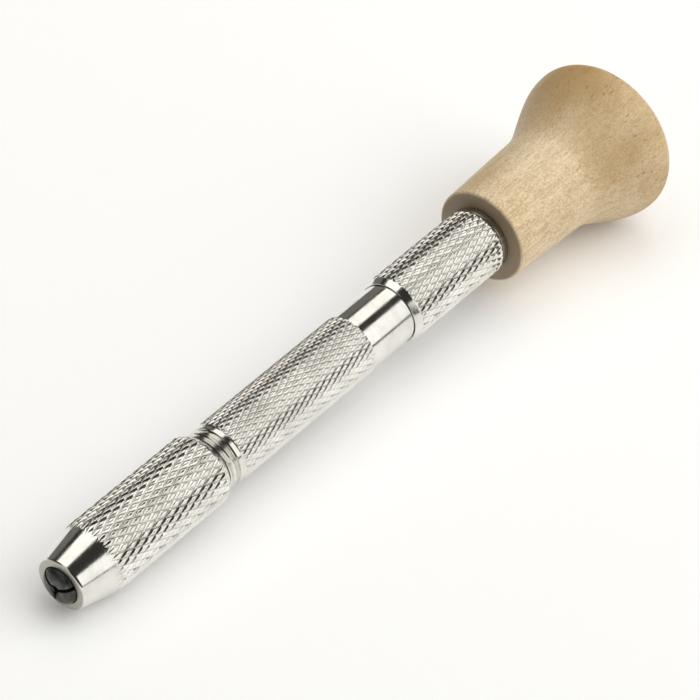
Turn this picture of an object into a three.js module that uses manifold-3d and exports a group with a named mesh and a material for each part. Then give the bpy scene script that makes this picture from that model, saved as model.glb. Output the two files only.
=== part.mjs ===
// Swivel-head hand drill (pin vise): a knurled metal holder with a screw-down collet chuck
// at its nose and a turned wooden palm head that swivels on its tail.
//
// Frame, in millimetres: the tool's axis is the X axis, the nose points to -X and the wooden
// head to +X, +Z is up, and the origin is on the axis at mid length.
// Stations along the tool are measured from the flat nose face of the chuck cap, towards the
// head, and turned into X by the group at the end.

import * as THREE from "three";
import { mergeVertices } from "three/addons/utils/BufferGeometryUtils.js";
import Module from "manifold-3d";

const wasm = await Module();
wasm.setup();

// ---------------------------------------------------------------- driving dimensions

const FACETS = 32; // sides of every turned surface, few enough that the tool doesn't roll away

const CAP = {
  faceRadius: 3.4,
  bevelRadius: 3.5,
  bevelEnd: 0.12,
  coneEnd: 5.7,
  radius: 4.7,
  knurlEnd: 23.4,
  end: 24.2,
  endRadius: 4.2,
  mouthRadius: 2.45,
  seatStart: 0.6,
  seatEnd: 3.6,
  throatRadius: 3.1,
  threadStart: 9.2,
  threadRadius: 4.05,
};

const COLLET = {
  length: 22.5,
  tip: -1.0,
  tipRadius: 0.75,
  noseRadius: 2.38,
  domeLength: 0.9,
  noseEnd: 1.5,
  coneEnd: 4.4,
  radius: 2.95,
  neckStart: 5.0,
  neckRadius: 2.45,
  neckEnd: 9.6,
  waistStart: 9.9,
  smallBore: 0.42,
  largeBore: 0.8,
  middleBore: 1.5,
  jawLength: 6.5,
  slotLength: 8.2,
  slotWidth: 0.45,
  jaws: 3,
  jawTurnDeg: 34.65,
};

const BARREL = {
  start: 9.6,
  threadRadius: 3.95,
  threadEnd: 26.0,
  reliefRadius: 3.6,
  reliefEnd: 26.35,
  bandRadius: 4.0,
  bandEnd: 27.0,
  knurlRadius: 4.13,
  knurlEnd: 51.0,
  neckRadius: 4.0,
  neckEnd: 58.95,
  tailRadius: 3.7,
  end: 66.5,
  chamfer: 0.4,
  boreRadius: 3.05,
  frontBoreEnd: 22.6,
  storeStart: 39.5,
};

const SPARE_START = 41.0; // where the stored collet begins

const TAIL_CAP = {
  start: 58.6,
  faceRadius: 4.17,
  bevelEnd: 59.5,
  radius: 4.55,
  knurlEnd: 75.7,
  end: 76.0,
  endRadius: 4.4,
  mouthRadius: 4.08,
  mouthEnd: 59.05,
  threadRadius: 3.8,
  threadEnd: 66.9,
  cavityRadius: 3.1,
  webStart: 72.0,
  pinHole: 1.75,
};

const SCREW = {
  headStart: 69.6,
  headRadius: 2.7,
  headRim: 70.5,
  headEnd: 71.35,
  shankRadius: 1.6,
  shankEnd: 80.5,
  threadRoot: 1.15,
  threadPitch: 1.2,
  threadTurns: 10,
  point: 94.6,
  driveWidth: 0.7,
  driveDepth: 0.75,
};

const HEAD_WASHER = { start: 71.4, end: 71.9, inner: 1.75, outer: 2.9 };
const THRUST_WASHER = { start: 76.1, end: 76.9, inner: 1.75, outer: 4.33 };

const PALM = {
  face: 77.0,
  edgeRound: 0.45,
  stemRadius: 6.45,
  stemEnd: 90.0,
  stemEndRadius: 6.94,
  hollowEnd: 95.5,
  hollowRadius: 8.72,
  rim: 101.7,
  rimRadius: 10.78,
  rimRound: 2.7,
  crownStartDeg: 38,
  pilotRadius: 1.7,
  pilotEnd: 95.4,
  pilotTip: 96.4,
};

// ---------------------------------------------------------------- solids from profiles

// A mesh's geometry as a solid that can be joined and cut. Turned-round faces are put right.
function solidFrom(geometry) {
  geometry.deleteAttribute("normal");
  geometry.deleteAttribute("uv");
  const merged = mergeVertices(geometry, 1e-4);
  const triVerts = new Uint32Array(merged.index.array);
  const build = () =>
    new wasm.Manifold(
      new wasm.Mesh({
        numProp: 3,
        vertProperties: merged.attributes.position.array,
        triVerts,
      }),
    );
  const solid = build();
  if (solid.volume() > 0) return solid;
  for (let i = 0; i < triVerts.length; i += 3) {
    const second = triVerts[i + 1];
    triVerts[i + 1] = triVerts[i + 2];
    triVerts[i + 2] = second;
  }
  return build();
}

// Turns a closed outline of [station, radius] points about the X axis.
function turned(outline, facets = FACETS) {
  const points = outline.map(([station, radius]) => new THREE.Vector2(radius, station));
  const first = points[0];
  const last = points[points.length - 1];
  const onAxis = first.x === 0 && last.x === 0;
  if (!onAxis) points.push(first.clone());
  const geometry = new THREE.LatheGeometry(points, facets);
  geometry.rotateZ(-Math.PI / 2);
  return solidFrom(geometry);
}

// A box that spans the given stations and reaches outwards from the axis, turned about X.
function radialSlot(from, to, reach, width, angleDeg) {
  const box = new THREE.BoxGeometry(to - from, reach, width);
  box.translate((from + to) / 2, reach / 2, 0);
  box.rotateX(THREE.MathUtils.degToRad(angleDeg));
  return solidFrom(box);
}

// The points of a smooth cubic between two ends of an outline, without its first point.
function sweep(start, startPull, endPull, end, steps) {
  const [a, b, c, d] = [start, startPull, endPull, end].map(([x, y]) => new THREE.Vector2(x, y));
  return new THREE.CubicBezierCurve(a, b, c, d)
    .getPoints(steps)
    .slice(1)
    .map((p) => [p.x, p.y]);
}

// The points of an arc of an outline, angles in degrees from +X, without its first point.
function arc(centreX, centreY, radius, fromDeg, toDeg, steps) {
  const points = [];
  for (let i = 1; i <= steps; i += 1) {
    const angle = THREE.MathUtils.degToRad(fromDeg + ((toDeg - fromDeg) * i) / steps);
    points.push([centreX + radius * Math.cos(angle), centreY + radius * Math.sin(angle)]);
  }
  return points;
}

// ---------------------------------------------------------------- the pieces

// The knurled chuck cap: a cone at the nose, a plain bore where its thread runs, and the
// conical seat that squeezes the collet's jaws.
function chuckCap() {
  return turned([
    [0, CAP.mouthRadius],
    [0, CAP.faceRadius],
    [CAP.bevelEnd, CAP.bevelRadius],
    [CAP.coneEnd, CAP.radius],
    [CAP.knurlEnd, CAP.radius],
    [CAP.end, CAP.endRadius],
    [CAP.end, CAP.threadRadius],
    [CAP.threadStart, CAP.threadRadius],
    [CAP.threadStart, CAP.throatRadius],
    [CAP.seatEnd, CAP.throatRadius],
    [CAP.seatStart, CAP.mouthRadius],
  ]);
}

// One double-ended collet, from station 0 at the tip of its small jaws: jaws, cone, thin neck
// and a guide waist, then the same again the other way round with a larger bore.
function collet() {
  const c = COLLET;
  const half = [
    [0, c.tipRadius],
    [c.domeLength, c.noseRadius],
    [c.noseEnd, c.noseRadius + 0.02],
    [c.coneEnd, c.radius],
    [c.neckStart, c.neckRadius],
    [c.neckEnd, c.neckRadius],
    [c.waistStart, c.radius],
  ];
  const mirrored = half.map(([station, radius]) => [c.length - station, radius]).reverse();
  const bore = [
    [c.length, c.largeBore],
    [c.length - c.jawLength, c.largeBore],
    [c.length - c.jawLength - 0.5, c.middleBore],
    [c.jawLength + 0.5, c.middleBore],
    [c.jawLength, c.smallBore],
    [0, c.smallBore],
  ];
  let solid = turned([...half, ...mirrored, ...bore]);
  for (let i = 0; i < c.jaws; i += 1) {
    const angle = c.jawTurnDeg + (i * 360) / c.jaws;
    const reach = c.radius + 1;
    const front = radialSlot(-1, c.slotLength, reach, c.slotWidth, angle);
    const back = radialSlot(
      c.length - c.slotLength,
      c.length + 1,
      reach,
      c.slotWidth,
      angle + 180 / c.jaws,
    );
    solid = solid.subtract(front).subtract(back);
  }
  return solid;
}

// The barrel: threaded front end, relief and plain band, knurled grip, plain neck and a
// threaded tail. It is bored from the front for the collet and from the tail for the spare.
function barrel() {
  const b = BARREL;
  const drillPoint = b.boreRadius * 0.6;
  const outside = [
    [b.start, b.boreRadius + 0.1],
    [b.start, b.threadRadius - b.chamfer],
    [b.start + b.chamfer, b.threadRadius],
    [b.threadEnd, b.threadRadius],
    [b.threadEnd, b.reliefRadius],
    [b.reliefEnd, b.reliefRadius],
    [b.reliefEnd, b.bandRadius],
    [b.bandEnd, b.bandRadius],
    [b.bandEnd, b.knurlRadius],
    [b.knurlEnd, b.knurlRadius],
    [b.knurlEnd, b.neckRadius],
    [b.neckEnd, b.neckRadius],
    [b.neckEnd, b.tailRadius],
    [b.end - b.chamfer, b.tailRadius],
    [b.end, b.tailRadius - b.chamfer],
    [b.end, b.boreRadius],
  ];
  const body = turned([[b.start, 0], ...outside, [b.end, 0]]);
  const frontBore = turned([
    [b.start - 1, 0],
    [b.start - 1, b.boreRadius],
    [b.frontBoreEnd, b.boreRadius],
    [b.frontBoreEnd + drillPoint, 0],
  ]);
  const storeBore = turned([
    [b.storeStart - drillPoint, 0],
    [b.storeStart, b.boreRadius],
    [b.end + 1, b.boreRadius],
    [b.end + 1, 0],
  ]);
  return body.subtract(frontBore).subtract(storeBore);
}

// The knurled tail cap: screws onto the barrel's tail, and its web holds the swivel screw.
function tailCap() {
  const t = TAIL_CAP;
  return turned([
    [t.start, t.mouthRadius],
    [t.start, t.faceRadius],
    [t.bevelEnd, t.radius],
    [t.knurlEnd, t.radius],
    [t.end, t.endRadius],
    [t.end, t.pinHole],
    [t.webStart, t.pinHole],
    [t.webStart, t.cavityRadius],
    [t.threadEnd, t.cavityRadius],
    [t.threadEnd, t.threadRadius],
    [t.mouthEnd, t.threadRadius],
    [t.mouthEnd, t.mouthRadius],
  ]);
}

// The swivel screw: a slotted round head inside the tail cap, a plain shank that the cap
// turns on, and a coarse wood thread, as rings, that ends in a point.
function swivelScrew() {
  const s = SCREW;
  const outline = [
    [s.headStart, 0],
    ...sweep(
      [s.headStart, 0],
      [s.headStart, s.headRadius * 0.55],
      [s.headStart + 0.3, s.headRadius],
      [s.headRim, s.headRadius],
      5,
    ),
    [s.headEnd, s.headRadius],
    [s.headEnd, s.shankRadius],
    [s.shankEnd, s.shankRadius],
  ];
  for (let turn = 0; turn < s.threadTurns; turn += 1) {
    const root = s.shankEnd + turn * s.threadPitch;
    outline.push([root + 0.25 * s.threadPitch, s.threadRoot]);
    outline.push([root + 0.6 * s.threadPitch, s.threadRoot]);
    outline.push([root + 0.9 * s.threadPitch, s.shankRadius]);
  }
  outline.push([s.shankEnd + s.threadTurns * s.threadPitch + 0.3, s.threadRoot]);
  outline.push([s.point, 0]);
  const slot = new THREE.BoxGeometry(2 * s.driveDepth, 3 * s.headRadius, s.driveWidth);
  slot.translate(s.headStart, 0, 0);
  return turned(outline, 24).subtract(solidFrom(slot));
}

function washer({ start, end, inner, outer }) {
  return turned([
    [start, inner],
    [start, outer],
    [end, outer],
    [end, inner],
  ]);
}

// The outline of the turned wooden head: flat front, a slowly swelling stem, a hollow that
// flares out to the rim, and a domed crown for the palm.
function palmOutline() {
  const p = PALM;
  const roundCentre = p.rimRadius - p.rimRound;
  const crownAngle = THREE.MathUtils.degToRad(p.crownStartDeg);
  const crownX = p.rim + p.rimRound * Math.cos(crownAngle);
  const crownY = roundCentre + p.rimRound * Math.sin(crownAngle);
  const crownRadius = crownY / Math.sin(crownAngle);
  const crownCentre = crownX - crownRadius * Math.cos(crownAngle);
  return [
    [p.face, p.pilotRadius],
    [p.face, p.stemRadius - p.edgeRound],
    ...arc(p.face + p.edgeRound, p.stemRadius - p.edgeRound, p.edgeRound, 180, 90, 3),
    [p.stemEnd, p.stemEndRadius],
    ...sweep(
      [p.stemEnd, p.stemEndRadius],
      [p.stemEnd + 2.3, p.stemEndRadius + 0.1],
      [p.hollowEnd - 1.9, p.hollowRadius - 0.87],
      [p.hollowEnd, p.hollowRadius],
      6,
    ),
    ...sweep(
      [p.hollowEnd, p.hollowRadius],
      [p.hollowEnd + 2.1, p.hollowRadius + 0.95],
      [p.rim - 2.0, p.rimRadius],
      [p.rim, p.rimRadius],
      6,
    ),
    ...arc(p.rim, roundCentre, p.rimRound, 90, p.crownStartDeg, 4),
    ...arc(crownCentre, 0, crownRadius, p.crownStartDeg, 0, 8),
  ];
}

// The wooden head, with the blind pilot hole that the swivel screw bites into.
function palmHead() {
  const p = PALM;
  const outline = palmOutline();
  const crown = outline[outline.length - 1];
  outline[outline.length - 1] = [crown[0], 0];
  const pilot = [
    [p.pilotTip, 0],
    [p.pilotEnd, p.pilotRadius],
  ];
  const outside = turned([[p.face, 0], ...outline.slice(1)]);
  const bore = turned([[p.face - 1, 0], [p.face - 1, p.pilotRadius], pilot[1], pilot[0]]);
  return outside.subtract(bore);
}

// ---------------------------------------------------------------- finishes and assembly

const FINISHES = {
  nickel: { color: 0xd8d6cf, roughness: 0.16, metalness: 1 },
  satinNickel: { color: 0xc9c7bf, roughness: 0.3, metalness: 1 },
  blackSteel: { color: 0x3a3b39, roughness: 0.5, metalness: 0.8 },
  brass: { color: 0xc9a24a, roughness: 0.35, metalness: 1 },
  screwSteel: { color: 0xb4b2ac, roughness: 0.3, metalness: 1 },
  maple: { color: 0xd9bf92, roughness: 0.55, metalness: 0 },
};

// A solid as a named mesh with its own finish, moved along the tool by a number of stations.
function pieceMesh(name, solid, finish, station = 0) {
  const mesh = solid.getMesh();
  const positions = new Float32Array(mesh.numVert * 3);
  for (let i = 0; i < mesh.numVert; i += 1) {
    const from = i * mesh.numProp;
    positions.set(mesh.vertProperties.subarray(from, from + 3), i * 3);
  }
  const geometry = new THREE.BufferGeometry();
  geometry.setAttribute("position", new THREE.BufferAttribute(positions, 3));
  geometry.setIndex(new THREE.BufferAttribute(new Uint32Array(mesh.triVerts), 1));
  geometry.computeVertexNormals();
  const material = new THREE.MeshStandardMaterial(FINISHES[finish]);
  const piece = new THREE.Mesh(geometry, material);
  piece.name = name;
  piece.position.x = station;
  return piece;
}

const outlineEnd = palmOutline().at(-1)[0];
const tool = new THREE.Group();
tool.name = "hand_drill";
tool.position.x = -(COLLET.tip + outlineEnd) / 2;

const chuck = new THREE.Group();
chuck.add(pieceMesh("chuck_cap", chuckCap(), "nickel"));
chuck.add(pieceMesh("front_collet", collet(), "blackSteel", COLLET.tip));

const holder = new THREE.Group();
holder.add(pieceMesh("barrel", barrel(), "nickel"));
holder.add(pieceMesh("spare_collet", collet(), "blackSteel", SPARE_START));

const swivel = new THREE.Group();
swivel.add(pieceMesh("tail_cap", tailCap(), "nickel"));
swivel.add(pieceMesh("screw_washer", washer(HEAD_WASHER), "brass"));
swivel.add(pieceMesh("thrust_washer", washer(THRUST_WASHER), "satinNickel"));
swivel.add(pieceMesh("swivel_screw", swivelScrew(), "screwSteel"));
swivel.add(pieceMesh("wooden_head", palmHead(), "maple"));

tool.add(chuck, holder, swivel);

export default tool;
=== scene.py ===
"""Swivel-head hand drill: a knurled, nickel-plated collet holder and a turned wooden palm head."""

import math

import bmesh
import bpy
from bpy.props import FloatProperty, FloatVectorProperty, IntProperty, PointerProperty
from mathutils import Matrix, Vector


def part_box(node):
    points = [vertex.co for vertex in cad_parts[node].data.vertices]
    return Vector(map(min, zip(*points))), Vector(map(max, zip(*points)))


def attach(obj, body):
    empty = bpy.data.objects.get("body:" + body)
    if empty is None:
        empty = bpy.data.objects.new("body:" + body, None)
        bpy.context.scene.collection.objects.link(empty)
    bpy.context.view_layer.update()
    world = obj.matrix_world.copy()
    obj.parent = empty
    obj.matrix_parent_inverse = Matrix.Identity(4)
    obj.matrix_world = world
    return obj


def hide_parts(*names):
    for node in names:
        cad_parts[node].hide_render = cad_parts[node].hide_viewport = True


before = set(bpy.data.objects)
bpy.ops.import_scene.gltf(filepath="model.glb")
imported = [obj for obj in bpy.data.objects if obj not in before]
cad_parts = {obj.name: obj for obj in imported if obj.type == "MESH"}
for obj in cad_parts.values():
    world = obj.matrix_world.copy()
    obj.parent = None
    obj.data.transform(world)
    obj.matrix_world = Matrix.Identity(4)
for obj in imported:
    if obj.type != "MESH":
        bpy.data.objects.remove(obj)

bl_info = {
    "name": "Swivel-Head Hand Drill",
    "version": (1, 0, 0),
    "blender": (4, 5, 0),
    "location": "3D View > Sidebar > Hand Drill",
    "description": "Builds a pin vise with a screw-down collet chuck and a swivelling wooden palm head",
    "category": "Object",
}

MM = 0.001
TURN = 2 * math.pi
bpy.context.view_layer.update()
NOSE_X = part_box("chuck_cap")[0].x  # the flat nose face, where stations along the tool start

# mesh steps in one pitch of a thread, in one diamond of the caps (both ways), and of the finer barrel
THREAD_SAMPLES = 8
GRIP_SAMPLES = 12
BARREL_SAMPLES = 8

# stations in millimetres from the nose face
CONE_END = 5.7
CAP_KNURL_END = 23.4
BARREL_KNURL = (27.0, 51.0)
TAIL_KNURL = (59.5, 75.7)
FRONT_THREAD = (15.0, 26.0)
TAIL_THREAD = (58.95, 66.1)
SCREW_THREAD = (80.5, 93.0)
FRONT_COLLET = -1.0
SPARE_COLLET = 41.0
HEAD_FRONT = 77.0
STEM_END = 90.0
RIM = 101.7

# radii and other lengths in millimetres
FRONT_THREAD_RADIUS = 4.0
TAIL_THREAD_RADIUS = 3.74
SCREW_RADIUS = 1.6
COLLET_LENGTH = 22.5
BLADE_REACH = 4.0  # how far a saw blade reaches from the axis, past the outside of what it cuts
RIM_ROUND = 2.7
HANDLED_REACH = 11.0  # how far the wood is darkened by hands on each side of the rim
JAW_TURN = math.radians(34.65)  # the first saw cut of the collets' front ends
SKIN = 0.00005  # metres below a cut's floor that still count as the outside
NOSE_DEPTH = 0.00004  # metres behind the nose face that carry its satin finish and its painted shade

# colours of small details
NOSE_SATIN_AND_SHADE = (0.40, 0.39, 0.33)
BARE_STEEL = (0.22, 0.22, 0.21)
PALE_FIBRE = (0.86, 0.74, 0.54)
PALE_SPECKLE = (0.90, 0.78, 0.58)
PORE = (0.12, 0.07, 0.03)
HONEY = (0.45, 0.28, 0.105)
END_GRAIN_AND_SHADE = (0.26, 0.20, 0.135)

# the stage
LENS = 169.71
SHIFT = (-1.5 / 700, -5.7 / 700)
TARGET = (-0.00168, 0.0, 0.0)
FLOOR_REACH = 2.5
SURROUNDINGS = (0.032, 0.031, 0.027, 1.0)


# ---------------------------------------------------------------- sizes and colours


def length(name, description, default):
    """A length in metres that a user can change."""
    return FloatProperty(
        name=name,
        description=description,
        default=default * MM,
        min=0.0,
        precision=5,
        unit="LENGTH",
        subtype="DISTANCE",
    )


def number(name, description, default, least):
    """A whole number that a user can change."""
    return IntProperty(name=name, description=description, default=default, min=least)


def colour(name, description, default):
    """A colour that a user can change."""
    return FloatVectorProperty(
        name=name,
        description=description,
        default=default,
        size=3,
        min=0.0,
        max=1.0,
        subtype="COLOR",
    )


def angle(name, description, degrees):
    """An angle that a user can change."""
    value = math.radians(degrees)
    return FloatProperty(name=name, description=description, default=value, subtype="ANGLE")


def share(name, description, default):
    """A share from nothing to all."""
    return FloatProperty(
        name=name, description=description, default=default, min=0.0, max=1.0, subtype="FACTOR"
    )


class ChuckSizes(bpy.types.PropertyGroup):
    """Sizes of the chuck cap and of the collets."""

    diamonds: number("Diamonds Around", "Knurl diamonds in one turn", 31, 8)
    rows: number("Diamond Rows", "Knurl diamonds along the grip", 8, 2)
    depth: length("Knurl Depth", "Depth of the knurl's grooves", 0.2)
    radius: length("Crest Radius", "Radius over the knurl's crests", 4.7)
    jaws: number("Jaws", "Jaws of each collet", 3, 2)
    slot_width: length("Slot Width", "Width of the saw cuts between the jaws", 0.45)
    slot_length: length("Slot Length", "Length of the saw cuts between the jaws", 8.2)


class BarrelSizes(bpy.types.PropertyGroup):
    """Sizes of the threaded barrel."""

    diamonds: number("Diamonds Around", "Knurl diamonds in one turn", 33, 8)
    rows: number("Diamond Rows", "Knurl diamonds along the grip", 14, 2)
    depth: length("Knurl Depth", "Depth of the knurl's grooves", 0.15)
    radius: length("Crest Radius", "Radius over the knurl's crests", 4.13)
    thread_pitch: length("Thread Pitch", "Pitch of the front and tail threads", 0.75)
    thread_depth: length("Thread Depth", "Depth of the front and tail threads", 0.44)


class TailSizes(bpy.types.PropertyGroup):
    """Sizes of the knurled tail cap and of the swivel screw."""

    diamonds: number("Diamonds Around", "Knurl diamonds in one turn", 32, 8)
    rows: number("Diamond Rows", "Knurl diamonds along the grip", 7, 2)
    depth: length("Knurl Depth", "Depth of the knurl's grooves", 0.2)
    radius: length("Crest Radius", "Radius over the knurl's crests", 4.55)
    screw_pitch: length("Screw Pitch", "Pitch of the swivel screw's wood thread", 1.2)
    screw_depth: length("Screw Thread Depth", "Depth of the swivel screw's wood thread", 0.45)


class PalmSizes(bpy.types.PropertyGroup):
    """Sizes of the turned wooden head."""

    stem_radius: length("Stem Radius", "Radius of the stem at its flat front", 6.45)
    rim_radius: length("Rim Radius", "Largest radius of the head", 10.78)
    edge_round: length("Edge Round", "Radius that breaks the front edge", 0.45)
    segments: number("Segments", "Faces round the head", 192, 32)


class Finishes(bpy.types.PropertyGroup):
    """Colours and gloss of the finishes."""

    nickel: colour("Nickel", "Bright nickel plate", (0.86, 0.845, 0.80))
    nickel_shade: colour("Nickel Shade", "Nickel plate where it has dulled", (0.70, 0.685, 0.64))
    # painted shade: the colour that darkens the floors of the knurl's and threads' grooves
    groove_shade_colour: colour("Groove", "Colour at the bottom of the knurl's grooves", (0.20, 0.19, 0.165))
    nickel_roughness: share("Nickel Roughness", "Roughness of the plate on plain turned parts", 0.11)
    black: colour("Black Steel", "Black oxide on the collets", (0.055, 0.056, 0.053))
    steel: colour("Plain Steel", "Turned steel of the screw and thrust washer", (0.48, 0.46, 0.40))
    brass: colour("Brass", "Brass of the screw's washer", (0.72, 0.52, 0.24))
    wood_pale: colour("Wood Pale", "Lightest tone of the wood", (0.79, 0.645, 0.42))
    wood_mid: colour("Wood Middle", "Middle tone of the wood", (0.64, 0.475, 0.265))
    wood_dark: colour("Wood Dark", "Darkest tone of the grain", (0.40, 0.24, 0.105))


class StageSettings(bpy.types.PropertyGroup):
    """The camera, the lights and the floor."""

    azimuth: angle("Azimuth", "Camera's angle round the tool", -50.9)
    elevation: angle("Elevation", "Camera's angle above the horizon", 42.36)
    distance: FloatProperty(
        name="Distance",
        description="Camera's distance from its target",
        default=0.3976,
        min=0.05,
        unit="LENGTH",
    )
    floor_colour: colour("Floor", "Colour of the floor", (0.92, 0.92, 0.91))


GROUPS = {
    "hand_drill_chuck": ChuckSizes,
    "hand_drill_barrel": BarrelSizes,
    "hand_drill_tail": TailSizes,
    "hand_drill_palm": PalmSizes,
    "hand_drill_finishes": Finishes,
    "hand_drill_stage": StageSettings,
}


# ---------------------------------------------------------------- turned blanks


def arc(centre, radius, start, end, steps):
    """Points of an arc of an outline, angles in degrees from the tool's direction, both ends included."""
    angles = [math.radians(start + (end - start) * i / steps) for i in range(steps + 1)]
    return [(centre[0] + radius * math.cos(a), centre[1] + radius * math.sin(a)) for a in angles]


def sweep(a, b, c, d, steps):
    """Points of a smooth cubic of an outline, without its first point."""
    out = []
    for i in range(1, steps + 1):
        t = i / steps
        u = 1 - t
        shares = (u**3, 3 * u * u * t, 3 * u * t * t, t**3)
        out.append(tuple(sum(w * point[k] for w, point in zip(shares, (a, b, c, d))) for k in (0, 1)))
    return out


def with_stations(outline, start, end, step, least_radius):
    """The outline with a point at each step from start to end on its outside, for a pattern to move."""
    stations = [start + step * i for i in range(int(round((end - start) / step)) + 1)]
    out = []
    for (x0, r0), (x1, r1) in zip(outline, outline[1:] + outline[:1]):
        out.append((x0, r0))
        if x1 > x0 and min(r0, r1) >= least_radius:
            for s in stations:
                if x0 + 1e-4 < s < x1 - 1e-4:
                    out.append((s, r0 + (r1 - r0) * (s - x0) / (x1 - x0)))
    return out


def with_holds(outline, kept, gap=0.03, least=0.4):
    """The outline with a point close to both ends of each long stretch, which keeps its shading flat."""
    out = []
    for (x0, r0), (x1, r1) in zip(outline, outline[1:] + outline[:1]):
        out.append((x0, r0))
        reach = math.hypot(x1 - x0, r1 - r0)
        if reach > least and x0 not in kept:
            for t in (gap / reach, 1 - gap / reach):
                out.append((x0 + (x1 - x0) * t, r0 + (r1 - r0) * t))
    return out


def turned(name, outline, segments, threads=()):
    """An object turned from a closed outline of (station, radius) points in millimetres, faces outwards.

    Each of threads is (start, end, pitch) in millimetres. Between those two stations, which are
    neighbours in the outline, the mesh winds round with the pitch, so that a crest follows its edges.
    """
    outline = with_holds(outline, [start for start, end, pitch in threads])
    area = sum(a[0] * b[1] - b[0] * a[1] for a, b in zip(outline, outline[1:] + outline[:1]))
    if area > 0:
        outline = outline[::-1]
    verts, rings, seam = [], [], {}

    def add_ring(stations, radii):
        rings.append(range(len(verts), len(verts) + segments))
        for k, (station, radius) in enumerate(zip(stations, radii)):
            a = TURN * k / segments
            verts.append((NOSE_X + station * MM, radius * MM * math.cos(a), radius * MM * math.sin(a)))

    waiting = {start: (end, pitch) for start, end, pitch in threads}
    for (start, radius), (end, last) in zip(outline, outline[1:] + outline[:1]):
        if radius < 1e-6:
            rings.append([len(verts)] * segments)
            verts.append((NOSE_X + start * MM, 0.0, 0.0))
            continue
        add_ring([start] * segments, [radius] * segments)
        if start in waiting and waiting[start][0] == end:
            pitch = waiting.pop(start)[1]
            step = pitch / THREAD_SAMPLES
            first, count = len(rings), math.ceil((end - start) / step) + THREAD_SAMPLES
            for j in range(count):
                shift = start + (j - THREAD_SAMPLES) * step
                at = [min(max(start, shift + pitch * k / segments), end) for k in range(segments)]
                add_ring(at, [radius + (last - radius) * (x - start) / (end - start) for x in at])
                seam[first + j] = min(first + j + THREAD_SAMPLES, first + count)
    if waiting:
        raise RuntimeError(f"{name} has no outline points for the threads at {sorted(waiting)}")
    faces = []
    for i, near in enumerate(rings):
        j = (i + 1) % len(rings)
        far = rings[j]
        if near[0] == near[1] and far[0] == far[1]:
            continue
        for k in range(segments - 1):
            faces.append((near[k], near[k + 1], far[k + 1], far[k]))
        faces.append((near[-1], rings[seam.get(i, i)][0], rings[seam.get(j, j)][0], far[-1]))
    mesh = bpy.data.meshes.new(name)
    mesh.from_pydata(verts, [], [tuple(dict.fromkeys(f)) for f in faces])
    shell = bmesh.new()
    shell.from_mesh(mesh)
    bmesh.ops.remove_doubles(shell, verts=shell.verts, dist=1e-7)
    shell.to_mesh(mesh)
    shell.free()
    piece = bpy.data.objects.new(name, mesh)
    bpy.context.scene.collection.objects.link(piece)
    return piece


# ---------------------------------------------------------------- node helpers


class Nodes:
    """Adds nodes to a tree and joins them."""

    def __init__(self, tree):
        self.tree = tree

    def add(self, kind, inputs=None, **settings):
        """A node with its settings and its inputs, each a value or another node's output."""
        node = self.tree.nodes.new(kind)
        for key, value in settings.items():
            setattr(node, key, value)
        for key, value in (inputs or {}).items():
            self.feed(node.inputs[key], value)
        return node

    def feed(self, socket, value):
        """Sets an input, or links it."""
        if isinstance(value, bpy.types.NodeSocket):
            self.tree.links.new(value, socket)
        else:
            socket.default_value = value

    def math(self, operation, *values, clamp=False):
        """The result of a Math node."""
        node = self.add("ShaderNodeMath", dict(enumerate(values)), operation=operation, use_clamp=clamp)
        return node.outputs[0]

    def times(self, first, second):
        """Two values multiplied."""
        return self.math("MULTIPLY", first, second)

    def plus(self, first, second):
        """Two values added."""
        return self.math("ADD", first, second)

    def minus(self, first, second):
        """The second value taken from the first."""
        return self.math("SUBTRACT", first, second)

    def fit(self, value, low, high, to_low=0.0, to_high=1.0, kind="LINEAR"):
        """A value mapped from one range to another, and held inside it."""
        node = self.add(
            "ShaderNodeMapRange",
            {"Value": value, "From Min": low, "From Max": high, "To Min": to_low, "To Max": to_high},
            interpolation_type=kind,
        )
        return node.outputs["Result"]


def modifier_tree(name, sizes):
    """A Geometry Nodes tree with a geometry, named sizes and a material as inputs.

    Returns the tree, its helper and its inputs.
    """
    tree = bpy.data.node_groups.new(name, "GeometryNodeTree")
    tree.interface.new_socket("Geometry", in_out="INPUT", socket_type="NodeSocketGeometry")
    for label, default in sizes.items():
        kind = "NodeSocketInt" if isinstance(default, int) else "NodeSocketFloat"
        socket = tree.interface.new_socket(label, in_out="INPUT", socket_type=kind)
        socket.default_value = default
    tree.interface.new_socket("Material", in_out="INPUT", socket_type="NodeSocketMaterial")
    tree.interface.new_socket("Geometry", in_out="OUTPUT", socket_type="NodeSocketGeometry")
    made = Nodes(tree)
    return tree, made, made.add("NodeGroupInput").outputs


def close_tree(made, geometry, material):
    """Ends a tree in Realize Instances and Set Material."""
    solid = made.add("GeometryNodeRealizeInstances", {"Geometry": geometry})
    painted = made.add("GeometryNodeSetMaterial", {"Geometry": solid.outputs[0], "Material": material})
    made.add("NodeGroupOutput", {"Geometry": painted.outputs[0]})


def around_the_axis(made):
    """A point's three coordinates, its turn (in whole turns round the axis) and its radius."""
    position = made.add("GeometryNodeInputPosition").outputs[0]
    parts = made.add("ShaderNodeSeparateXYZ", {0: position}).outputs
    x, y, z = parts[0], parts[1], parts[2]
    turn = made.math("DIVIDE", made.math("ARCTAN2", z, y), TURN)
    radius = made.math("SQRT", made.plus(made.times(y, y), made.times(z, z)))
    return x, y, z, turn, radius


def cut_to(made, geometry, x, y, z, radius, cut):
    """Moves points that stand further out than a radius in to it."""
    kept = made.math("MINIMUM", radius, cut)
    scale = made.math("DIVIDE", kept, made.math("MAXIMUM", radius, 1e-7))
    across, up = made.times(y, scale), made.times(z, scale)
    place = made.add("ShaderNodeCombineXYZ", {0: x, 1: across, 2: up})
    moved = made.add("GeometryNodeSetPosition", {"Geometry": geometry, "Position": place.outputs[0]})
    return moved.outputs[0]


def run_out(made, x, start, end, fade):
    """1 between two stations, and down to 0 at both of them over a short length."""
    rise = made.math("DIVIDE", made.minus(x, start), fade, clamp=True)
    fall = made.math("DIVIDE", made.minus(end, x), fade, clamp=True)
    return made.times(rise, fall)


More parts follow.
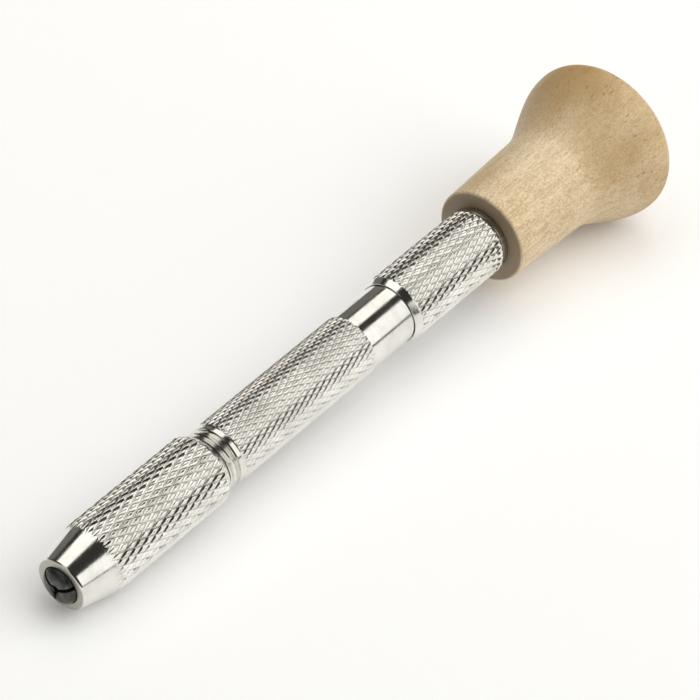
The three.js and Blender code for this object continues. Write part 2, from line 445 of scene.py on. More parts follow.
def store(made, geometry, name, value):
    """Keeps a number on each point for the materials."""
    node = made.add(
        "GeometryNodeStoreNamedAttribute",
        {"Geometry": geometry, "Name": name, "Value": value},
        data_type="FLOAT",
        domain="POINT",
    )
    return node.outputs[0]


def knurl_tree():
    """Rolls a diamond knurl into the outside of a turned blank: two crossing sets of V grooves."""
    tree, made, given = modifier_tree(
        "Diamond Knurl",
        {
            "Diamonds Around": 31,
            "Diamond Length": 0.0022,
            "Depth": 0.0003,
            "Crest Radius": 0.0047,
            "Crest Flat": 0.58,
            "Start": 0.0,
            "End": 0.01,
            "Run-Out": 0.0001,
        },
    )
    x, y, z, turn, radius = around_the_axis(made)
    across = made.times(turn, given["Diamonds Around"])
    along = made.math("DIVIDE", made.minus(x, given["Start"]), given["Diamond Length"])
    left = made.math("PINGPONG", made.plus(across, along), 0.5)
    right = made.math("PINGPONG", made.minus(across, along), 0.5)
    height = made.times(made.math("MINIMUM", left, right), 2.0)
    height = made.math("DIVIDE", height, given["Crest Flat"], clamp=True)
    inside = run_out(made, x, given["Start"], given["End"], given["Run-Out"])
    low = made.times(made.minus(1.0, height), inside)
    cut = made.minus(given["Crest Radius"], made.times(low, given["Depth"]))
    # each quad is split along the groove that it lies beside, so that groove lines stay straight
    beside = made.add("FunctionNodeCompare", {0: left, 1: right}, operation="LESS_THAN").outputs[0]
    first = made.add("GeometryNodeTriangulate", {"Mesh": given["Geometry"], "Selection": beside})
    first.quad_method = "FIXED_ALTERNATE"
    second = made.add("GeometryNodeTriangulate", {"Mesh": first.outputs[0]})
    second.quad_method = "FIXED"
    reach = made.minus(given["Crest Radius"], given["Depth"])
    outside = made.math("GREATER_THAN", radius, made.minus(reach, SKIN))
    relief = made.minus(1.0, made.times(low, outside))
    stored = store(made, second.outputs[0], "relief", relief)
    pattern = store(made, stored, "gripped", made.times(inside, outside))
    shaped = cut_to(made, pattern, x, y, z, radius, cut)
    close_tree(made, shaped, given["Material"])
    return tree


def thread_tree():
    """Cuts a right-hand screw thread into the outside of a turned blank."""
    tree, made, given = modifier_tree(
        "Screw Thread",
        {
            "Pitch": 0.00075,
            "Depth": 0.0004,
            "Crest Radius": 0.004,
            "Crest Flat": 0.12,
            "Root Flat": 0.3,
            "Start": 0.0,
            "End": 0.01,
            "Run-Out": 0.0001,
        },
    )
    x, y, z, turn, radius = around_the_axis(made)
    along = made.math("DIVIDE", made.minus(x, given["Start"]), given["Pitch"])
    wave = made.times(made.math("PINGPONG", made.minus(along, turn), 0.5), 2.0)
    top = made.minus(1.0, given["Crest Flat"])
    rise, flank = made.minus(wave, given["Root Flat"]), made.minus(top, given["Root Flat"])
    height = made.math("DIVIDE", rise, flank, clamp=True)
    inside = run_out(made, x, given["Start"], given["End"], given["Run-Out"])
    low = made.times(made.minus(1.0, height), inside)
    cut = made.minus(given["Crest Radius"], made.times(low, given["Depth"]))
    # the cut only applies between its two stations: elsewhere the blank stays as it was turned
    beyond = made.math("LESS_THAN", inside, 1e-6)
    cut = made.plus(cut, beyond)
    reach = made.minus(given["Crest Radius"], given["Depth"])
    outside = made.math("GREATER_THAN", radius, made.minus(reach, SKIN))
    before = made.add("GeometryNodeInputNamedAttribute", {"Name": "relief"}, data_type="FLOAT")
    found = before.outputs["Exists"]
    kept, fresh = made.times(before.outputs[0], found), made.minus(1.0, found)
    earlier = made.plus(kept, fresh)
    relief = made.math("MINIMUM", earlier, made.minus(1.0, made.times(low, outside)))
    stored = store(made, given["Geometry"], "relief", relief)
    shaped = cut_to(made, stored, x, y, z, radius, cut)
    close_tree(made, shaped, given["Material"])
    return tree


def saw_tree():
    """Cuts evenly spaced slots into one end of a turned blank."""
    tree, made, given = modifier_tree(
        "Saw Cuts",
        {"Cuts": 3, "Start": 0.0, "End": 0.01, "Reach": 0.004, "Width": 0.0004, "First Turn": 0.0},
    )
    # each blade reaches half its width past the axis, so that blades meet there
    half_width = made.times(given["Width"], 0.5)
    deep, wide = made.minus(given["End"], given["Start"]), made.plus(given["Reach"], half_width)
    size = made.add("ShaderNodeCombineXYZ", {0: deep, 1: wide, 2: given["Width"]})
    along = made.times(made.plus(given["Start"], given["End"]), 0.5)
    out = made.times(made.minus(given["Reach"], half_width), 0.5)
    middle = made.add("ShaderNodeCombineXYZ", {0: along, 1: out, 2: 0.0})
    blade = made.add("GeometryNodeMeshCube", {"Size": size.outputs[0]})
    blade = made.add(
        "GeometryNodeTransform",
        {"Geometry": blade.outputs["Mesh"], "Translation": middle.outputs[0]},
    )
    points = made.add("GeometryNodePoints", {"Count": given["Cuts"]})
    index = made.add("GeometryNodeInputIndex").outputs[0]
    step = made.math("DIVIDE", made.times(index, TURN), given["Cuts"])
    angle = made.plus(step, given["First Turn"])
    turn = made.add("ShaderNodeCombineXYZ", {0: angle, 1: 0.0, 2: 0.0})
    blades = made.add(
        "GeometryNodeInstanceOnPoints",
        {"Points": points.outputs[0], "Instance": blade.outputs[0], "Rotation": turn.outputs[0]},
    )
    blades = made.add("GeometryNodeRealizeInstances", {"Geometry": blades.outputs[0]})
    cut = made.add("GeometryNodeMeshBoolean", operation="DIFFERENCE", solver="EXACT")
    cut.inputs["Self Intersection"].default_value = True
    made.feed(cut.inputs["Mesh 1"], given["Geometry"])
    made.feed(cut.inputs["Mesh 2"], blades.outputs[0])
    close_tree(made, cut.outputs["Mesh"], given["Material"])
    return tree


def tree_named(name, build):
    """The tree of that name, built once."""
    return bpy.data.node_groups.get(name) or build()


def work(piece, tree, **values):
    """Adds a tree to a piece with its sizes, set by the sockets' identifiers."""
    modifier = piece.modifiers.new(tree.name, "NODES")
    modifier.node_group = tree
    given = {key.replace("_", " ").title().replace("Run Out", "Run-Out"): v for key, v in values.items()}
    for item in tree.interface.items_tree:
        if item.item_type == "SOCKET" and item.in_out == "INPUT" and item.name in given:
            modifier[item.identifier] = given.pop(item.name)
    if given:
        raise RuntimeError(f"{tree.name} has no input named {sorted(given)}")


def settle(piece, material, sharp_angle=28.0):
    """Turns a piece and its modifiers into one plain mesh with crisp edges."""
    bpy.context.view_layer.update()
    evaluated = piece.evaluated_get(bpy.context.evaluated_depsgraph_get())
    mesh = bpy.data.meshes.new_from_object(evaluated)
    piece.modifiers.clear()
    piece.data = mesh
    mesh.name = piece.name
    if not mesh.polygons:
        raise RuntimeError(f"{piece.name} came out empty")
    mesh.materials.clear()
    mesh.materials.append(material)
    mesh.polygons.foreach_set("material_index", [0] * len(mesh.polygons))
    mesh.shade_smooth()
    mesh.set_sharp_from_angle(angle=math.radians(sharp_angle))
    return piece


def station(x):
    """Metres along the tool for a station in millimetres."""
    return NOSE_X + x * MM


def roll_knurl(piece, sizes, start, end, row, run_out, material):
    """Rolls a knurl between two stations, with rows of the given length and the group's other sizes."""
    work(
        piece,
        tree_named("Diamond Knurl", knurl_tree),
        diamonds_around=sizes.diamonds,
        diamond_length=row * MM,
        depth=sizes.depth,
        crest_radius=sizes.radius,
        start=station(start),
        end=station(end),
        run_out=run_out * MM,
        material=material,
    )


def cut_thread(piece, pitch, depth, radius, start, end, run_out, material, **flats):
    """Cuts a thread between two stations."""
    work(
        piece,
        tree_named("Screw Thread", thread_tree),
        pitch=pitch,
        depth=depth,
        crest_radius=radius * MM,
        start=station(start),
        end=station(end),
        run_out=run_out * MM,
        material=material,
        **flats,
    )


def cut_slots(piece, cuts, start, end, width, first_turn, material):
    """Saws slots between two places along the tool, in metres."""
    work(
        piece,
        tree_named("Saw Cuts", saw_tree),
        cuts=cuts,
        start=start,
        end=end,
        reach=BLADE_REACH * MM,
        width=width,
        first_turn=first_turn,
        material=material,
    )


def place(piece, body, slot, *nodes):
    """Rides a finished piece on its body in place of its CAD nodes."""
    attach(piece, body)
    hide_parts(*nodes)


# ---------------------------------------------------------------- finishes
# their names differ from the slots, because the CAD brings plain materials with the slots' names


def finish(name, build, *values):
    """The finish of that name, built once."""
    return bpy.data.materials.get(name) or build(name, *values)


def new_material(name, shown):
    """An empty material with its shader; returns the material, its helper and the shader."""
    material = bpy.data.materials.new(name)
    material.use_nodes = True
    material.diffuse_color = (*shown, 1.0)
    tree = material.node_tree
    tree.nodes.clear()
    made = Nodes(tree)
    shader = made.add("ShaderNodeBsdfPrincipled")
    made.add("ShaderNodeOutputMaterial", {"Surface": shader.outputs[0]})
    return material, made, shader


def place_on(made, scale=(1.0, 1.0, 1.0)):
    """The piece's own coordinates, stretched."""
    where = made.add("ShaderNodeTexCoord").outputs["Object"]
    return made.add("ShaderNodeMapping", {"Vector": where, "Scale": scale}).outputs[0]


def noise(made, vector, scale, detail=3.0, roughness=0.5, distortion=0.0):
    """A noise texture's strength."""
    inputs = {"Vector": vector, "Scale": scale, "Detail": detail}
    inputs |= {"Roughness": roughness, "Distortion": distortion}
    return made.add("ShaderNodeTexNoise", inputs).outputs[0]


def mix(made, factor, first, second):
    """Two colours mixed."""
    node = made.add("ShaderNodeMix", data_type="RGBA")
    made.feed(node.inputs["Factor"], factor)
    for socket, value in ((node.inputs[6], first), (node.inputs[7], second)):
        made.feed(socket, value if isinstance(value, bpy.types.NodeSocket) else (*value, 1.0))
    return node.outputs[2]


def bump(made, height, strength, distance, normal=None):
    """A bump's normal."""
    inputs = {"Height": height, "Strength": strength, "Distance": distance}
    if normal is not None:
        inputs["Normal"] = normal
    return made.add("ShaderNodeBump", inputs).outputs[0]


def nickel_plate(name):
    """Bright nickel plate: mirror-like where turned plain, duller down in its grooves, and darker there
    with painted shade.
    """
    look = bpy.context.scene.hand_drill_finishes
    material, made, shader = new_material(name, look.nickel)
    relief = made.add("ShaderNodeAttribute", attribute_name="relief").outputs["Fac"]
    gripped = made.add("ShaderNodeAttribute", attribute_name="gripped").outputs["Fac"]
    cloudy = noise(made, place_on(made), 260.0, 4.0, 0.6)
    specks = noise(made, place_on(made), 5200.0, 2.0, 0.6)
    rings = noise(made, place_on(made, (1.0, 0.012, 0.012)), 9000.0, 2.0, 0.6)
    plate = mix(made, made.fit(cloudy, 0.38, 0.72), look.nickel, look.nickel_shade)
    low = made.fit(relief, 0.42, 0.0)
    # painted shade: the grooves' floors are darkened toward the groove colour, by speckled amounts
    groove_shade = made.times(low, made.fit(specks, 0.25, 0.75, 0.05, 0.5))
    tint = mix(made, groove_shade, plate, look.groove_shade_colour)
    where = made.add("ShaderNodeTexCoord").outputs["Object"]
    parts = made.add("ShaderNodeSeparateXYZ", {0: where}).outputs
    nose = made.math("LESS_THAN", parts[0], NOSE_X + NOSE_DEPTH)
    # satin grey tint of the nose face, darkened as painted shade; its roughness below is the real satin
    # finish
    tint = mix(made, made.times(nose, 0.75), tint, NOSE_SATIN_AND_SHADE)
    made.feed(shader.inputs["Base Color"], tint)
    shader.inputs["Metallic"].default_value = 1.0
    base = made.fit(cloudy, 0.3, 0.75, look.nickel_roughness, look.nickel_roughness + 0.07)
    base = made.plus(base, made.times(gripped, 0.02))
    base = made.plus(base, made.times(nose, 0.22))
    base = made.plus(base, made.times(low, 0.08))
    made.feed(shader.inputs["Roughness"], base)
    fine = bump(made, rings, 0.10, 0.00002)
    grain = bump(made, specks, 0.16, 0.00004, fine)
    made.feed(shader.inputs["Normal"], grain)
    return material


def black_steel(name):
    """Black oxide on the collets: satin, with lighter worn patches and lathe rings."""
    look = bpy.context.scene.hand_drill_finishes
    material, made, shader = new_material(name, look.black)
    cloudy = noise(made, place_on(made), 700.0, 4.0, 0.65)
    specks = noise(made, place_on(made), 4200.0, 3.0, 0.7)
    rings = noise(made, place_on(made, (1.0, 0.03, 0.03)), 6000.0, 2.0, 0.5)
    worn = tuple(min(1.0, 3.2 * c + 0.03) for c in look.black)
    tint = mix(made, made.fit(cloudy, 0.45, 0.8), look.black, worn)
    tint = mix(made, made.fit(specks, 0.62, 0.8, 0.0, 0.5), tint, BARE_STEEL)
    made.feed(shader.inputs["Base Color"], tint)
    shader.inputs["Metallic"].default_value = 0.75
    made.feed(shader.inputs["Roughness"], made.fit(specks, 0.3, 0.7, 0.30, 0.46))
    made.feed(shader.inputs["Normal"], bump(made, specks, 0.2, 0.00003, bump(made, rings, 0.2, 0.00003)))
    return material


def turned_metal(name, tint, roughness):
    """A plain turned metal: fine rings round the axis and small dull stains."""
    material, made, shader = new_material(name, tint)
    cloudy = noise(made, place_on(made), 900.0, 4.0, 0.6)
    rings = noise(made, place_on(made, (1.0, 0.02, 0.02)), 7000.0, 3.0, 0.6)
    dull = tuple(0.62 * c for c in tint)
    made.feed(shader.inputs["Base Color"], mix(made, made.fit(cloudy, 0.35, 0.75), tint, dull))
    shader.inputs["Metallic"].default_value = 1.0
    made.feed(shader.inputs["Roughness"], made.fit(cloudy, 0.3, 0.7, roughness, roughness + 0.14))
    made.feed(shader.inputs["Normal"], bump(made, rings, 0.25, 0.00004))
    return material


def turned_wood(name):
    """Pale close-grained hardwood: faint growth rings, fine fibres and short pores along the tool."""
    look = bpy.context.scene.hand_drill_finishes
    material, made, shader = new_material(name, look.wood_mid)
    end_grain_and_shade = made.add("ShaderNodeAttribute", attribute_name="end_grain_and_shade").outputs["Fac"]
    handled = made.add("ShaderNodeAttribute", attribute_name="handled").outputs["Fac"]
    where = made.add("ShaderNodeTexCoord").outputs["Object"]
    heart = made.add("ShaderNodeMapping", {"Vector": where, "Location": (0.0, 0.013, 0.021)}).outputs[0]
    parts = made.add("ShaderNodeSeparateXYZ", {0: heart}).outputs
    sway = noise(made, place_on(made, (0.35, 1.0, 1.0)), 95.0, 3.0, 0.55)
    squares = [made.times(part, part) for part in parts[1:3]]
    reach = made.math("SQRT", made.plus(*squares))
    reach = made.plus(reach, made.times(sway, 0.0042))
    year = made.math("FRACT", made.times(reach, 560.0))
    rise = made.fit(year, 0.25, 0.93, 0.0, 1.0, "SMOOTHSTEP")
    late = made.times(rise, made.fit(year, 1.0, 0.95))
    mottle = noise(made, place_on(made, (0.45, 1.0, 1.0)), 165.0, 4.0, 0.6, 0.4)
    fibres = noise(made, place_on(made, (0.08, 1.0, 1.0)), 3800.0, 4.0, 0.65)
    flecks = noise(made, place_on(made, (0.22, 1.0, 1.0)), 2300.0, 3.0, 0.6)
    pores = noise(made, place_on(made, (0.08, 1.0, 1.0)), 4400.0, 1.0, 0.4)
    spots = noise(made, place_on(made, (0.5, 1.0, 1.0)), 340.0, 2.0, 0.5)
    speckle = noise(made, place_on(made, (0.6, 1.0, 1.0)), 4600.0, 2.0, 0.7)
    tint = mix(made, made.fit(mottle, 0.40, 0.62), look.wood_pale, look.wood_mid)
    tint = mix(made, made.times(late, 0.13), tint, look.wood_dark)
    tint = mix(made, made.fit(fibres, 0.48, 0.66, 0.0, 0.26), tint, look.wood_dark)
    tint = mix(made, made.fit(fibres, 0.50, 0.34, 0.0, 0.30), tint, PALE_FIBRE)
    tint = mix(made, made.fit(flecks, 0.50, 0.66, 0.0, 0.30), tint, look.wood_dark)
    tint = mix(made, made.fit(speckle, 0.50, 0.66, 0.0, 0.34), tint, look.wood_dark)
    tint = mix(made, made.fit(speckle, 0.50, 0.36, 0.0, 0.38), tint, PALE_SPECKLE)
    pore = made.times(made.fit(pores, 0.67, 0.72), made.fit(spots, 0.58, 0.66))
    splits = noise(made, place_on(made, (0.035, 1.0, 1.0)), 2500.0, 1.0, 0.4)
    cracks = made.times(made.fit(splits, 0.67, 0.71), made.fit(handled, 0.62, 0.8))
    pore = made.math("MAXIMUM", made.times(pore, 0.6), cracks)
    tint = mix(made, made.times(pore, 0.75), tint, PORE)
    patches = noise(made, place_on(made, (0.7, 1.0, 1.0)), 110.0, 2.0, 0.5)
    honey = made.fit(patches, 0.38, 0.60, 0.45, 0.90)
    tint = mix(made, made.times(handled, honey), tint, HONEY)
    # darker end grain, deepened so that it also paints the shade on the flat front face
    tint = mix(made, made.times(end_grain_and_shade, 0.78), tint, END_GRAIN_AND_SHADE)
    made.feed(shader.inputs["Base Color"], tint)
    made.feed(shader.inputs["Roughness"], made.fit(fibres, 0.3, 0.7, 0.40, 0.56))
    shader.inputs["Specular IOR Level"].default_value = 0.38
    shader.inputs["Coat Weight"].default_value = 0.10
    shader.inputs["Coat Roughness"].default_value = 0.34
    fuzz = bump(made, fibres, 0.22, 0.00006)
    dents = bump(made, made.minus(1.0, pore), 0.6, 0.00010, fuzz)
    made.feed(shader.inputs["Normal"], bump(made, mottle, 0.10, 0.0004, dents))
    return material


# ---------------------------------------------------------------- the pieces


class HANDDRILL_OT_chuck_cap(bpy.types.Operator):
    """Turn and knurl the chuck cap"""

    bl_idname = "hand_drill.chuck_cap"
    bl_label = "Chuck Cap"

    def execute(self, context):
        sizes = context.scene.hand_drill_chuck
        crest = sizes.radius / MM
        row = (CAP_KNURL_END - CONE_END) / sizes.rows
        step = row / GRIP_SAMPLES
        outline = [
            (0.06, 2.45), (0.0, 2.51), (0.0, 3.24), (0.025, 3.34), (0.09, 3.42), (0.19, 3.48),
            (0.32, 3.52), (CONE_END, crest), (CAP_KNURL_END, crest), (24.14, 4.24), (24.2, 4.18),
            (24.2, 4.05), (9.2, 4.05), (9.2, 3.1), (3.6, 3.1), (0.6, 2.45),
        ]
        outline = with_stations(outline, CONE_END - 12 * step, 24.1, step, 3.4)
        piece = turned("chuck_cap_knurled", outline, sizes.diamonds * GRIP_SAMPLES)
        material = finish("nickel_finish", nickel_plate)
        # the knurl starts inside the cone, so that its grooves run out where the cone narrows
        roll_knurl(piece, sizes, CONE_END - 2 * row, 24.6, row, 0.05, material)
        place(settle(piece, material, 42.0), "chuck_cap", "nickel_plate", "chuck_cap")
        return {"FINISHED"}


def collet_outline():
    """Outline of one double-ended collet from the tip of its small jaws, in millimetres."""
    angles = [math.pi / 2 * i / 10 for i in range(11)]
    dome = [(0.9 * (1 - math.cos(a)), 0.75 + 1.63 * math.sin(a)) for a in angles]
    taper = [(1.5, 2.4), (4.3, 2.93), (4.4, 2.95), (5.0, 2.5), (5.06, 2.45), (9.6, 2.45), (9.9, 2.95)]
    half = [*dome, *taper]
    other = [(COLLET_LENGTH - x, r) for x, r in reversed(half)]
    bore = [(22.3, 0.8), (16.0, 0.8), (15.5, 1.5), (7.0, 1.5), (6.5, 0.42), (0.22, 0.42)]
    return [*half, *other, *bore]


def make_collet(context, name, body, node, start):
    """Turns one collet, saws its jaws apart at both ends and puts it in place."""
    sizes = context.scene.hand_drill_chuck
    piece = turned(name, [(start + x, r) for x, r in collet_outline()], 96)
    material = finish("black_steel_finish", black_steel)
    front, back = station(start), station(start + COLLET_LENGTH)
    # the back end's cuts stand half a jaw round from the front end's
    for near, far, first in (
        (front - MM, front + sizes.slot_length, JAW_TURN),
        (back - sizes.slot_length, back + MM, JAW_TURN + math.pi / sizes.jaws),
    ):
        cut_slots(piece, sizes.jaws, near, far, sizes.slot_width, first, material)
    place(settle(piece, material), body, "black_steel", node)


class HANDDRILL_OT_collets(bpy.types.Operator):
    """Turn and slot the collet in the chuck and the spare one in the barrel"""

    bl_idname = "hand_drill.collets"
    bl_label = "Collets"

    def execute(self, context):
        make_collet(context, "front_collet_jaws", "front_collet", "front_collet", FRONT_COLLET)
        make_collet(context, "spare_collet_jaws", "barrel", "spare_collet", SPARE_COLLET)
        return {"FINISHED"}


class HANDDRILL_OT_barrel(bpy.types.Operator):
    """Turn, thread and knurl the barrel"""

    bl_idname = "hand_drill.barrel"
    bl_label = "Barrel"

    def execute(self, context):
        sizes = context.scene.hand_drill_barrel
        crest = sizes.radius / MM
        row = (BARREL_KNURL[1] - BARREL_KNURL[0]) / sizes.rows
        outline = [
            (9.6, 3.15), (9.6, 3.5), (10.1, 4.0), (FRONT_THREAD[0], FRONT_THREAD_RADIUS),
            (FRONT_THREAD[1], FRONT_THREAD_RADIUS), (26.02, 3.62), (26.06, 3.58), (26.28, 3.58),
            (26.32, 3.62), (26.34, 3.95), (26.4, 4.0), (26.96, 4.0), (27.06, crest), (50.94, crest),
            (51.04, 4.0), (58.9, 4.0), (TAIL_THREAD[0], 3.95), (TAIL_THREAD[0], TAIL_THREAD_RADIUS),
            (TAIL_THREAD[1], TAIL_THREAD_RADIUS), (66.5, 3.34), (66.5, 3.15), (66.4, 3.05),
            (39.5, 3.05), (37.67, 0.0), (24.43, 0.0), (22.6, 3.05), (9.7, 3.05),
        ]
        outline = with_stations(outline, *BARREL_KNURL, row / BARREL_SAMPLES, 3.9)
        pitch = sizes.thread_pitch / MM
        threads = ((*FRONT_THREAD, pitch), (*TAIL_THREAD, pitch))
        piece = turned("barrel_knurled", outline, sizes.diamonds * BARREL_SAMPLES, threads)
        material = finish("nickel_finish", nickel_plate)
        roll_knurl(piece, sizes, *BARREL_KNURL, row, 0.25, material)
        # both threads run on a little past their stretches, so that their ends are cut off square
        for start, end, radius in (
            (FRONT_THREAD[0], FRONT_THREAD[1] + 0.2, FRONT_THREAD_RADIUS),
            (58.9, TAIL_THREAD[1] + 0.6, TAIL_THREAD_RADIUS),
        ):
            cut_thread(piece, sizes.thread_pitch, sizes.thread_depth, radius, start, end, 0.05, material)
        place(settle(piece, material, 42.0), "barrel", "nickel_plate", "barrel")
        return {"FINISHED"}


class HANDDRILL_OT_tail_cap(bpy.types.Operator):
    """Turn and knurl the tail cap"""

    bl_idname = "hand_drill.tail_cap"
    bl_label = "Tail Cap"

    def execute(self, context):
        sizes = context.scene.hand_drill_tail
        crest = sizes.radius / MM
        row = (TAIL_KNURL[1] - TAIL_KNURL[0]) / sizes.rows
        outline = [
            (58.64, 4.08), (58.6, 4.11), (58.6, 4.15), (58.63, 4.19), (59.44, 4.53), (59.5, crest),
            (75.6, crest), (75.7, 4.5), (75.94, 4.46), (76.0, 4.4), (76.0, 1.8), (75.94, 1.75),
            (72.0, 1.75), (72.0, 3.1), (66.9, 3.1), (66.9, 3.8), (59.05, 3.8), (59.05, 4.08),
        ]
        outline = with_stations(outline, *TAIL_KNURL, row / GRIP_SAMPLES, 4.3)
        piece = turned("tail_cap_knurled", outline, sizes.diamonds * GRIP_SAMPLES)
        material = finish("nickel_finish", nickel_plate)
        roll_knurl(piece, sizes, TAIL_KNURL[0], TAIL_KNURL[1] + 0.05, row, 0.3, material)
        place(settle(piece, material, 42.0), "tail_cap", "nickel_plate", "tail_cap")
        return {"FINISHED"}


def washer_outline(near, far, inner, outer, edge=0.07):
    """Outline of a washer with broken edges, in millimetres."""
    return [
        (near + edge, inner), (near, inner + edge), (near, outer - edge),
        (near + 0.3 * edge, outer - 0.3 * edge), (near + edge, outer), (far - edge, outer),
        (far - 0.3 * edge, outer - 0.3 * edge), (far, outer - edge), (far, inner + edge),
        (far - edge, inner),
    ]


class HANDDRILL_OT_swivel(bpy.types.Operator):
    """Turn the swivel screw, cut its slot and wood thread, and turn both washers"""

    bl_idname = "hand_drill.swivel"
    bl_label = "Swivel Screw and Washers"

    def execute(self, context):
        sizes = context.scene.hand_drill_tail
        look = context.scene.hand_drill_finishes
        steel = finish("plain_steel_finish", turned_metal, look.steel, 0.24)
        brass = finish("brass_finish", turned_metal, look.brass, 0.3)
        outline = [
            (69.6, 0.0),
            *sweep((69.6, 0.0), (69.6, 1.5), (69.9, 2.7), (70.5, 2.7), 12),
            (71.3, 2.7), (71.35, 2.65), (71.35, SCREW_RADIUS + 0.05), (71.4, SCREW_RADIUS),
            (SCREW_THREAD[0], SCREW_RADIUS), (SCREW_THREAD[1], SCREW_RADIUS), (94.6, 0.0),
        ]
        pitch, depth = sizes.screw_pitch, sizes.screw_depth
        screw = turned("swivel_screw_threaded", outline, 64, [(*SCREW_THREAD, pitch / MM)])
        # two blades half a turn apart make the driver's one slot
        cut_slots(screw, 2, station(69.0), station(70.35), 0.7 * MM, 0.0, steel)
        flats = {"crest_flat": 0.08, "root_flat": 0.4}
        cut_thread(screw, pitch, depth, SCREW_RADIUS, SCREW_THREAD[0], 95.0, 1.0, steel, **flats)
        place(settle(screw, steel), "palm_head", "plain_steel", "swivel_screw")
        ring = turned("thrust_washer_turned", washer_outline(76.1, 76.9, 1.75, 4.33), 128)
        place(settle(ring, steel), "thrust_washer", "plain_steel", "thrust_washer")
        ring = turned("screw_washer_turned", washer_outline(71.4, 71.9, 1.75, 2.9), 128)
        place(settle(ring, brass), "palm_head", "brass", "screw_washer")
        return {"FINISHED"}


def palm_outline(sizes):
    """Outline of the wooden head, from the rim of its pilot hole round to the crown, in millimetres."""
    stem, rim, edge = sizes.stem_radius / MM, sizes.rim_radius / MM, sizes.edge_round / MM
    meet = 38  # degrees from the axis where the rim's rounding meets the crown
    slope = math.radians(meet)
    round_centre = (RIM, rim - RIM_ROUND)
    crown_x = round_centre[0] + RIM_ROUND * math.cos(slope)
    crown_r = round_centre[1] + RIM_ROUND * math.sin(slope)
    crown = crown_r / math.sin(slope)
    crown_centre = (crown_x - crown * math.cos(slope), 0.0)
    hole = 1.82
    flat = HEAD_FRONT + edge
    swell = 0.49  # the stem widens by this much toward the flare
    outline = [(HEAD_FRONT + 0.12, 1.7), (HEAD_FRONT, hole)]
    outline += [(HEAD_FRONT, hole + (stem - edge - hole) * i / 6) for i in range(1, 6)]
    outline += arc((flat, stem - edge), edge, 180, 90, 8)
    outline += [(flat + (STEM_END - flat) * i / 18, stem + swell * i / 18) for i in range(1, 19)]
    outline += sweep((STEM_END, stem + swell), (92.3, 7.04), (93.6, 7.85), (95.5, 8.72), 20)
    outline += sweep((95.5, 8.72), (97.6, 9.67), (99.7, rim), (RIM, rim), 22)
    outline += arc(round_centre, RIM_ROUND, 90, meet, 14)[1:]
    outline += arc(crown_centre, crown, meet, 0, 40)[1:-1]
    outline += [(crown_centre[0] + crown, 0.0), (96.4, 0.0), (95.4, 1.7)]
    return outline


class HANDDRILL_OT_palm_head(bpy.types.Operator):
    """Turn the wooden palm head"""

    bl_idname = "hand_drill.palm_head"
    bl_label = "Palm Head"

    def execute(self, context):
        sizes = context.scene.hand_drill_palm
        piece = turned("palm_head_turned", palm_outline(sizes), sizes.segments)
        material = finish("wood_finish", turned_wood)
        settle(piece, material, 50.0)
        mesh = piece.data
        end_grain_and_shade = mesh.attributes.new("end_grain_and_shade", "FLOAT", "POINT")
        handled = mesh.attributes.new("handled", "FLOAT", "POINT")
        for i, vertex in enumerate(mesh.vertices):
            along = abs(vertex.normal.x)
            # the flat front face takes the full end-grain tone, which also carries the painted shade on
            # that face
            front = vertex.co.x < station(HEAD_FRONT + 0.05)
            end_grain_and_shade.data[i].value = 1.0 if front else max(0.0, along - 0.35) ** 1.5
            from_rim = abs(vertex.co.x - station(RIM)) / (HANDLED_REACH * MM)
            handled.data[i].value = max(0.0, 1.0 - from_rim) ** 0.6
        place(piece, "palm_head", "turned_wood", "wooden_head")
        return {"FINISHED"}


# ---------------------------------------------------------------- the stage


def floor_height(x):
    """Height of the floor under a station: it touches the chuck cap and the rim of the head."""
    return -0.0047 - 0.0633 * (x + 0.04739)


def softbox(name, at, toward, size, brightness, tint=(1.0, 1.0, 1.0)):
    """A rectangular area light turned toward a point, with its brightness as a mirror shows it."""
    data = bpy.data.lights.new(name, "AREA")
    data.shape = "RECTANGLE"
    data.size, data.size_y = size
    data.energy = brightness * math.pi * size[0] * size[1]
    data.color = tint
    lamp = bpy.data.objects.new(name, data)
    bpy.context.scene.collection.objects.link(lamp)
    lamp.location = at
    lamp.rotation_mode = "QUATERNION"
    lamp.rotation_quaternion = (Vector(toward) - Vector(at)).to_track_quat("-Z", "Y")
    return lamp


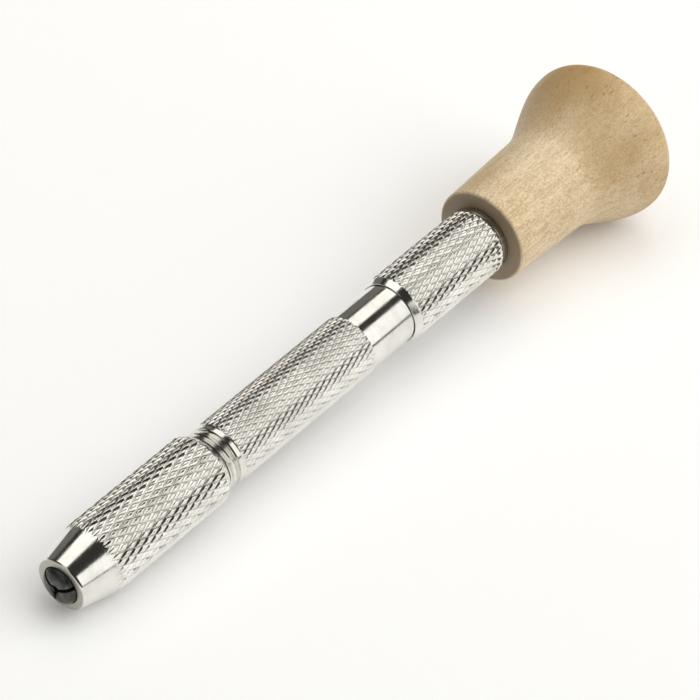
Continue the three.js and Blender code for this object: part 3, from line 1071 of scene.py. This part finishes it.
class HANDDRILL_OT_stage(bpy.types.Operator):
    """Set up the camera, the soft lights and the pale floor"""

    bl_idname = "hand_drill.stage"
    bl_label = "Camera, Lights and Floor"

    def execute(self, context):
        scene = context.scene
        sizes = scene.hand_drill_stage
        data = bpy.data.cameras.new("studio_camera")
        data.sensor_width = 36.0
        data.lens = LENS
        data.shift_x, data.shift_y = SHIFT
        data.clip_start, data.clip_end = 0.01, 50.0
        camera = bpy.data.objects.new("studio_camera", data)
        scene.collection.objects.link(camera)
        scene.camera = camera
        a, e = sizes.azimuth, sizes.elevation
        back = Vector((math.sin(a) * math.cos(e), -math.cos(a) * math.cos(e), math.sin(e)))
        camera.rotation_mode = "QUATERNION"
        camera.location = Vector(TARGET) + back * sizes.distance
        camera.rotation_quaternion = (-back).to_track_quat("-Z", "Y")

        mesh = bpy.data.meshes.new("floor")
        r = FLOOR_REACH
        corners = [(x, y, floor_height(x)) for x, y in ((-r, -r), (r, -r), (r, r), (-r, r))]
        mesh.from_pydata(corners, [], [(0, 1, 2, 3)])
        floor = bpy.data.objects.new("floor", mesh)
        scene.collection.objects.link(floor)
        material, made, shader = new_material("pale_floor", sizes.floor_colour)
        paper = noise(made, place_on(made), 900.0, 3.0)
        shader.inputs["Base Color"].default_value = (*sizes.floor_colour, 1.0)
        shader.inputs["Roughness"].default_value = 0.9
        shader.inputs["Specular IOR Level"].default_value = 0.1
        shader.inputs["Emission Color"].default_value = (1.0, 1.0, 0.995, 1.0)
        shader.inputs["Emission Strength"].default_value = 0.09
        made.feed(shader.inputs["Normal"], bump(made, paper, 0.03, 0.0002))
        mesh.materials.append(material)

        world = bpy.data.worlds.new("studio")
        world.use_nodes = True
        sky = Nodes(world.node_tree)
        world.node_tree.nodes.clear()
        background = sky.add("ShaderNodeBackground", {"Color": SURROUNDINGS, "Strength": 1.0})
        sky.add("ShaderNodeOutputWorld", {"Surface": background.outputs[0]})
        scene.world = world

        middle = (0.0, 0.0, 0.0)
        warm, soft = (1.0, 0.975, 0.93), (1.0, 0.995, 0.975)
        cool, amber = (0.97, 0.98, 1.0), (1.0, 0.98, 0.90)
        softbox("back_top_box", (0.20, 0.24, 0.50), (0.20, 0.2401, 0.0), (0.90, 0.475), 1.25, warm)
        softbox("front_right_box", (0.34, -0.50, 0.30), middle, (1.05, 0.56), 1.15, soft)
        softbox("left_fill", (-0.55, 0.10, 0.42), middle, (0.36, 0.36), 0.8, cool)
        softbox("back_wall", (0.60, 1.10, 0.38), (0.0, 0.0, 0.38), (2.4, 0.70), 0.13, amber)
        # the ceiling lights the floor and the wood, and stays out of the metal's reflections
        ceiling = softbox("ceiling_fill", (0.35, -0.60, 1.10), (0.05, -0.15, 0.0), (1.6, 1.4), 1.8)
        ceiling.visible_glossy = False

        scene.view_settings.view_transform = "Standard"
        return {"FINISHED"}


# ---------------------------------------------------------------- the add-on


class HANDDRILL_PT_panel(bpy.types.Panel):
    """Sizes and pieces of the hand drill"""

    bl_idname = "HANDDRILL_PT_panel"
    bl_label = "Hand Drill"
    bl_space_type = "VIEW_3D"
    bl_region_type = "UI"
    bl_category = "Hand Drill"

    def draw(self, context):
        for operator in OPERATORS:
            self.layout.operator(operator.bl_idname)
        for name, group in GROUPS.items():
            box = self.layout.box()
            box.label(text=group.__doc__)
            for field in group.__annotations__:
                box.prop(getattr(context.scene, name), field)


OPERATORS = (
    HANDDRILL_OT_stage,
    HANDDRILL_OT_chuck_cap,
    HANDDRILL_OT_collets,
    HANDDRILL_OT_barrel,
    HANDDRILL_OT_tail_cap,
    HANDDRILL_OT_swivel,
    HANDDRILL_OT_palm_head,
)


def register():
    """Registers the sizes, the operators and the panel."""
    for name, group in GROUPS.items():
        bpy.utils.register_class(group)
        setattr(bpy.types.Scene, name, PointerProperty(type=group))
    for item in (*OPERATORS, HANDDRILL_PT_panel):
        bpy.utils.register_class(item)


def unregister():
    """Takes everything that register added away again."""
    for item in (HANDDRILL_PT_panel, *reversed(OPERATORS)):
        bpy.utils.unregister_class(item)
    for name, group in GROUPS.items():
        delattr(bpy.types.Scene, name)
        bpy.utils.unregister_class(group)


def main():
    """Builds the stage and every piece in order."""
    register()
    bpy.ops.hand_drill.stage()
    bpy.ops.hand_drill.chuck_cap()
    bpy.ops.hand_drill.collets()
    bpy.ops.hand_drill.barrel()
    bpy.ops.hand_drill.tail_cap()
    bpy.ops.hand_drill.swivel()
    bpy.ops.hand_drill.palm_head()


if __name__ == "__main__":
    main()
